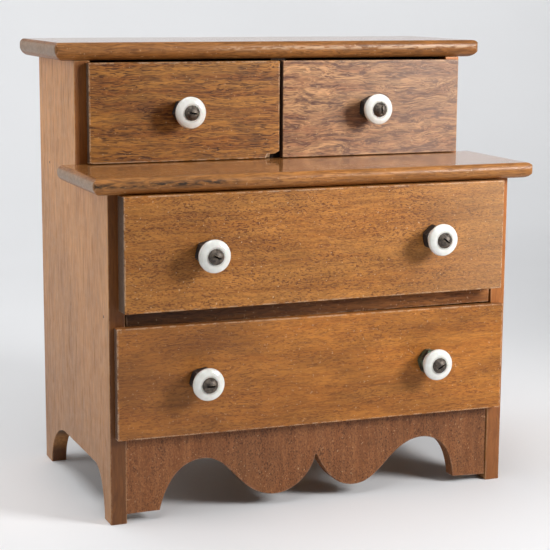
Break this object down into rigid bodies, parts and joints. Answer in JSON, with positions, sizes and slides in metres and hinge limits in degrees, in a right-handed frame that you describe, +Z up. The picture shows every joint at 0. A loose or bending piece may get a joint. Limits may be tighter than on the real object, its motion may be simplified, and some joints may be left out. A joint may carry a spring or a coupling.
{
  "type": "miniature chest of drawers",
  "caption": "Miniature oak chest of drawers with a stepped top, scalloped apron, overlay drawer fronts and white ceramic knobs; the drawers slide.",
  "frame": {"origin": "on the floor, under the middle of the whole chest's box with the drawers shut", "axes": "+Z up; the drawers open towards -Y; +X to the right as seen from the front"},
  "size_m": [0.2784, 0.181, 0.2726],
  "materials": {
    "oak_sides": "worn satin varnish over oak, grain upright",
    "oak_tops": "worn satin varnish over oak, grain lengthwise",
    "oak_rail": "dark varnished oak",
    "oak_apron": "satin varnish over speckled reddish oak",
    "oak_front_upper_left": "satin varnish over oak with short dark flecks",
    "oak_front_upper_right": "satin varnish over strongly figured oak",
    "oak_front_middle": "satin varnish over finely speckled oak",
    "oak_front_bottom": "satin varnish over golden oak",
    "inside_wood": "bare softwood, darkened with age",
    "white_ceramic": "gloss white glaze",
    "dark_brass": "dark patina with a little verdigris",
    "pin_steel": "dull, tarnished"
  },
  "bodies": {
    "carcase": {"side_panel_left": "oak_sides", "side_panel_right": "oak_sides", "top_board": "oak_tops", "step_board": "oak_tops", "middle_rail": "oak_rail", "apron": "oak_apron", "upper_shelf": "inside_wood", "upper_partition": "inside_wood", "back_panel": "inside_wood", "middle_runner_left": "inside_wood", "middle_runner_right": "inside_wood", "bottom_runner_left": "inside_wood", "bottom_runner_right": "inside_wood", "apron_block_left": "inside_wood", "apron_block_right": "inside_wood", "carcase_pins": "pin_steel"},
    "upper_left_drawer": {"upper_left_drawer_front": "oak_front_upper_left", "upper_left_drawer_side_left": "inside_wood", "upper_left_drawer_side_right": "inside_wood", "upper_left_drawer_back": "inside_wood", "upper_left_drawer_bottom": "inside_wood", "upper_left_drawer_pins": "pin_steel", "upper_left_drawer_knob": "white_ceramic", "upper_left_drawer_spacer_nut": "dark_brass", "upper_left_drawer_knob_screw": "dark_brass", "upper_left_drawer_back_nut": "dark_brass"},
    "upper_right_drawer": {"upper_right_drawer_front": "oak_front_upper_right", "upper_right_drawer_side_left": "inside_wood", "upper_right_drawer_side_right": "inside_wood", "upper_right_drawer_back": "inside_wood", "upper_right_drawer_bottom": "inside_wood", "upper_right_drawer_pins": "pin_steel", "upper_right_drawer_knob": "white_ceramic", "upper_right_drawer_spacer_nut": "dark_brass", "upper_right_drawer_knob_screw": "dark_brass", "upper_right_drawer_back_nut": "dark_brass"},
    "middle_drawer": {"middle_drawer_front": "oak_front_middle", "middle_drawer_side_left": "inside_wood", "middle_drawer_side_right": "inside_wood", "middle_drawer_back": "inside_wood", "middle_drawer_bottom": "inside_wood", "middle_drawer_pins": "pin_steel", "middle_drawer_knob_left": "white_ceramic", "middle_drawer_knob_right": "white_ceramic", "middle_drawer_spacer_nuts": "dark_brass", "middle_drawer_knob_screws": "dark_brass", "middle_drawer_back_nuts": "dark_brass"},
    "bottom_drawer": {"bottom_drawer_front": "oak_front_bottom", "bottom_drawer_side_left": "inside_wood", "bottom_drawer_side_right": "inside_wood", "bottom_drawer_back": "inside_wood", "bottom_drawer_bottom": "inside_wood", "bottom_drawer_pins": "pin_steel", "bottom_drawer_knob_left": "white_ceramic", "bottom_drawer_knob_right": "white_ceramic", "bottom_drawer_spacer_nuts": "dark_brass", "bottom_drawer_knob_screws": "dark_brass", "bottom_drawer_back_nuts": "dark_brass"}
  },
  "joints": [
    {"name": "upper_left_slide", "type": "slide", "parent": "carcase", "child": "upper_left_drawer", "axis": [0, -1, 0], "range_m": [0, 0.055]},
    {"name": "upper_right_slide", "type": "slide", "parent": "carcase", "child": "upper_right_drawer", "axis": [0, -1, 0], "range_m": [0, 0.055]},
    {"name": "middle_slide", "type": "slide", "parent": "carcase", "child": "middle_drawer", "axis": [0, -1, 0], "range_m": [0, 0.105]},
    {"name": "bottom_slide", "type": "slide", "parent": "carcase", "child": "bottom_drawer", "axis": [0, -1, 0], "range_m": [0, 0.105]}
  ]
}
